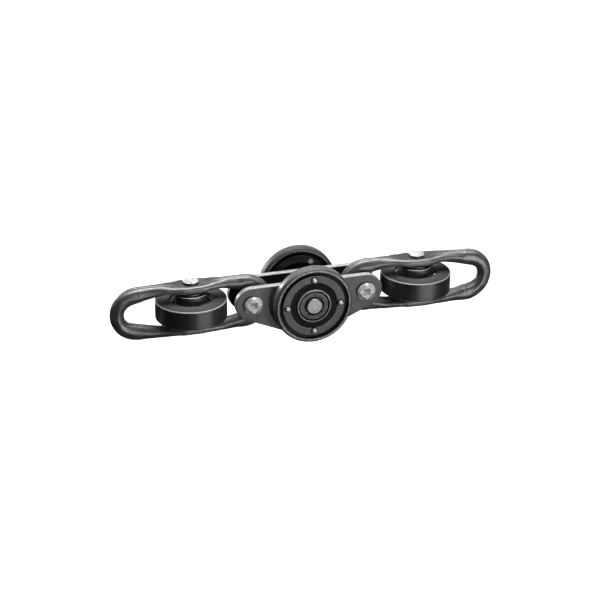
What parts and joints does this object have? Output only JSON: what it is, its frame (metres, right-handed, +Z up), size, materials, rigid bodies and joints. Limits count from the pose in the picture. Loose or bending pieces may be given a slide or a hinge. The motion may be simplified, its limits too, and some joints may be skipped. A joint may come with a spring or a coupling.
{
  "type": "conveyor chain",
  "caption": "Bi-planar overhead conveyor chain section: side plates with vertical load wheels, drop-forged loop links on cross pins, and horizontal guide wheels.",
  "frame": {"origin": "centre of the load-wheel axle, midway between the side plates", "axes": "+X along the chain, towards the right-hand loop link; +Y along the load-wheel axle, from the near plate to the far plate; +Z up"},
  "size_m": [0.3402, 0.061, 0.068],
  "materials": {
    "forged_black": "drop-forged surface, black phosphated, satin and slightly rough",
    "plate_black": "rolled plate, black phosphated, satin",
    "wheel_black": "turned and blackened steel, satin",
    "cover_grey": "pressed sheet steel, dark grey phosphate, satin",
    "race_grey": "ground bearing steel, oiled",
    "bright_steel": "bare bright steel, staked or turned end",
    "ball_steel": "polished bearing ball",
    "dark_steel": "blackened steel, oiled"
  },
  "bodies": {
    "side_frame": {"side_plate_near": "plate_black", "side_plate_far": "plate_black", "load_axle": "bright_steel", "distance_bush": "dark_steel", "axle_washer_near": "dark_steel", "axle_washer_far": "dark_steel", "load_inner_race_near": "race_grey", "load_inner_race_far": "race_grey"},
    "cross_pin_left": {"cross_pin_left": "bright_steel"},
    "link_left": {"forged_link_left": "forged_black", "guide_pin_left": "bright_steel", "upper_spacer_left": "dark_steel", "lower_spacer_left": "dark_steel", "guide_inner_race_left": "race_grey"},
    "guide_wheel_left": {"guide_tread_left": "wheel_black", "guide_upper_cover_left": "cover_grey", "guide_lower_cover_left": "cover_grey", "guide_rivets_left": "bright_steel"},
    "guide_ball_set_left": {"guide_balls_left": "ball_steel"},
    "cross_pin_right": {"cross_pin_right": "bright_steel"},
    "link_right": {"forged_link_right": "forged_black", "guide_pin_right": "bright_steel", "upper_spacer_right": "dark_steel", "lower_spacer_right": "dark_steel", "guide_inner_race_right": "race_grey"},
    "guide_wheel_right": {"guide_tread_right": "wheel_black", "guide_upper_cover_right": "cover_grey", "guide_lower_cover_right": "cover_grey", "guide_rivets_right": "bright_steel"},
    "guide_ball_set_right": {"guide_balls_right": "ball_steel"},
    "load_wheel_near": {"load_tread_near": "wheel_black", "load_outer_cover_near": "cover_grey", "load_inner_cover_near": "cover_grey", "load_rivets_near": "bright_steel"},
    "load_ball_set_near": {"load_balls_near": "ball_steel"},
    "load_wheel_far": {"load_tread_far": "wheel_black", "load_outer_cover_far": "cover_grey", "load_inner_cover_far": "cover_grey", "load_rivets_far": "bright_steel"},
    "load_ball_set_far": {"load_balls_far": "ball_steel"}
  },
  "joints": [
    {"name": "link_pitch_left", "type": "hinge", "parent": "side_frame", "child": "cross_pin_left", "pos_m": [-0.05, 0, 0.002], "axis": [0, 1, 0], "range_deg": [-60, 60]},
    {"name": "link_yaw_left", "type": "hinge", "parent": "cross_pin_left", "child": "link_left", "pos_m": [-0.05, 0, 0.002], "axis": [0, 0, 1], "range_deg": [-8, 8]},
    {"name": "guide_wheel_spin_left", "type": "hinge", "parent": "link_left", "child": "guide_wheel_left", "pos_m": [-0.1, 0, 0.0004], "axis": [0, 0, 1], "continuous": true},
    {"name": "guide_balls_orbit_left", "type": "hinge", "parent": "link_left", "child": "guide_ball_set_left", "pos_m": [-0.1, 0, 0.0004], "axis": [0, 0, 1], "continuous": true},
    {"name": "link_pitch_right", "type": "hinge", "parent": "side_frame", "child": "cross_pin_right", "pos_m": [0.05, 0, 0.002], "axis": [0, 1, 0], "range_deg": [-60, 60]},
    {"name": "link_yaw_right", "type": "hinge", "parent": "cross_pin_right", "child": "link_right", "pos_m": [0.05, 0, 0.002], "axis": [0, 0, 1], "range_deg": [-8, 8]},
    {"name": "guide_wheel_spin_right", "type": "hinge", "parent": "link_right", "child": "guide_wheel_right", "pos_m": [0.1, 0, 0], "axis": [0.0262, 0, 0.9997], "continuous": true},
    {"name": "guide_balls_orbit_right", "type": "hinge", "parent": "link_right", "child": "guide_ball_set_right", "pos_m": [0.1, 0, 0], "axis": [0.0262, 0, 0.9997], "continuous": true},
    {"name": "load_wheel_spin_near", "type": "hinge", "parent": "side_frame", "child": "load_wheel_near", "pos_m": [0, -0.0229, 0], "axis": [0, 1, 0], "continuous": true},
    {"name": "load_balls_orbit_near", "type": "hinge", "parent": "side_frame", "child": "load_ball_set_near", "pos_m": [0, -0.0229, 0], "axis": [0, 1, 0], "continuous": true},
    {"name": "load_wheel_spin_far", "type": "hinge", "parent": "side_frame", "child": "load_wheel_far", "pos_m": [0, 0.0229, 0], "axis": [0, 1, 0], "continuous": true},
    {"name": "load_balls_orbit_far", "type": "hinge", "parent": "side_frame", "child": "load_ball_set_far", "pos_m": [0, 0.0229, 0], "axis": [0, 1, 0], "continuous": true}
  ],
  "couplings": [
    {"joint": "guide_balls_orbit_left", "follows": "guide_wheel_spin_left", "ratio": 0.6377},
    {"joint": "guide_balls_orbit_right", "follows": "guide_wheel_spin_right", "ratio": 0.6377},
    {"joint": "load_balls_orbit_near", "follows": "load_wheel_spin_near", "ratio": 0.5779},
    {"joint": "load_balls_orbit_far", "follows": "load_wheel_spin_far", "ratio": 0.5779}
  ]
}
